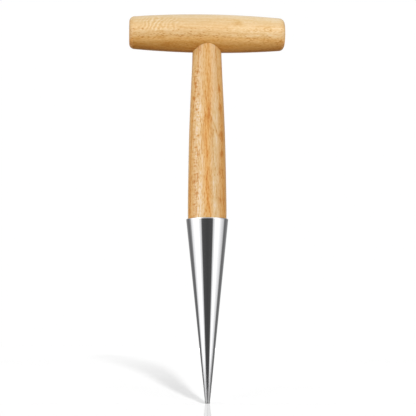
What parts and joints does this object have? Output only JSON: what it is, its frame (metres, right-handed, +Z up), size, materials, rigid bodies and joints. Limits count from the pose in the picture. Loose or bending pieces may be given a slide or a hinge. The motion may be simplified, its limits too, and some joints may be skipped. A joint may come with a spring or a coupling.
{
  "type": "bulb planter",
  "caption": "T-handled dibber for planting bulbs: turned beech crossbar and shaft over a hollow polished steel cone with a flat tip.",
  "frame": {"origin": "middle of the flat tip, the lowest point with the tool upright", "axes": "+Z up the shaft to the crossbar, X along the crossbar, +Y across it towards the side with the nail"},
  "size_m": [0.1124, 0.0302, 0.28],
  "materials": {
    "crossbar": "clear satin lacquer on beech, grain along the bar",
    "crossbar_plug": "clear satin lacquer on beech, end grain up",
    "screw": "zinc plated",
    "wood_glue": "cured wood glue",
    "shaft": "clear satin lacquer on beech, grain along the shaft",
    "steel_cone": "stainless steel, mirror polished",
    "epoxy": "cured epoxy",
    "pin": "stainless steel nail"
  },
  "bodies": {
    "root": {"crossbar": "crossbar", "crossbar_plug": "crossbar_plug", "crossbar_screw": "screw", "crossbar_glue": "wood_glue", "shaft": "shaft", "steel_cone": "steel_cone", "cone_epoxy": "epoxy", "cone_pin": "pin"}
  },
  "joints": []
}
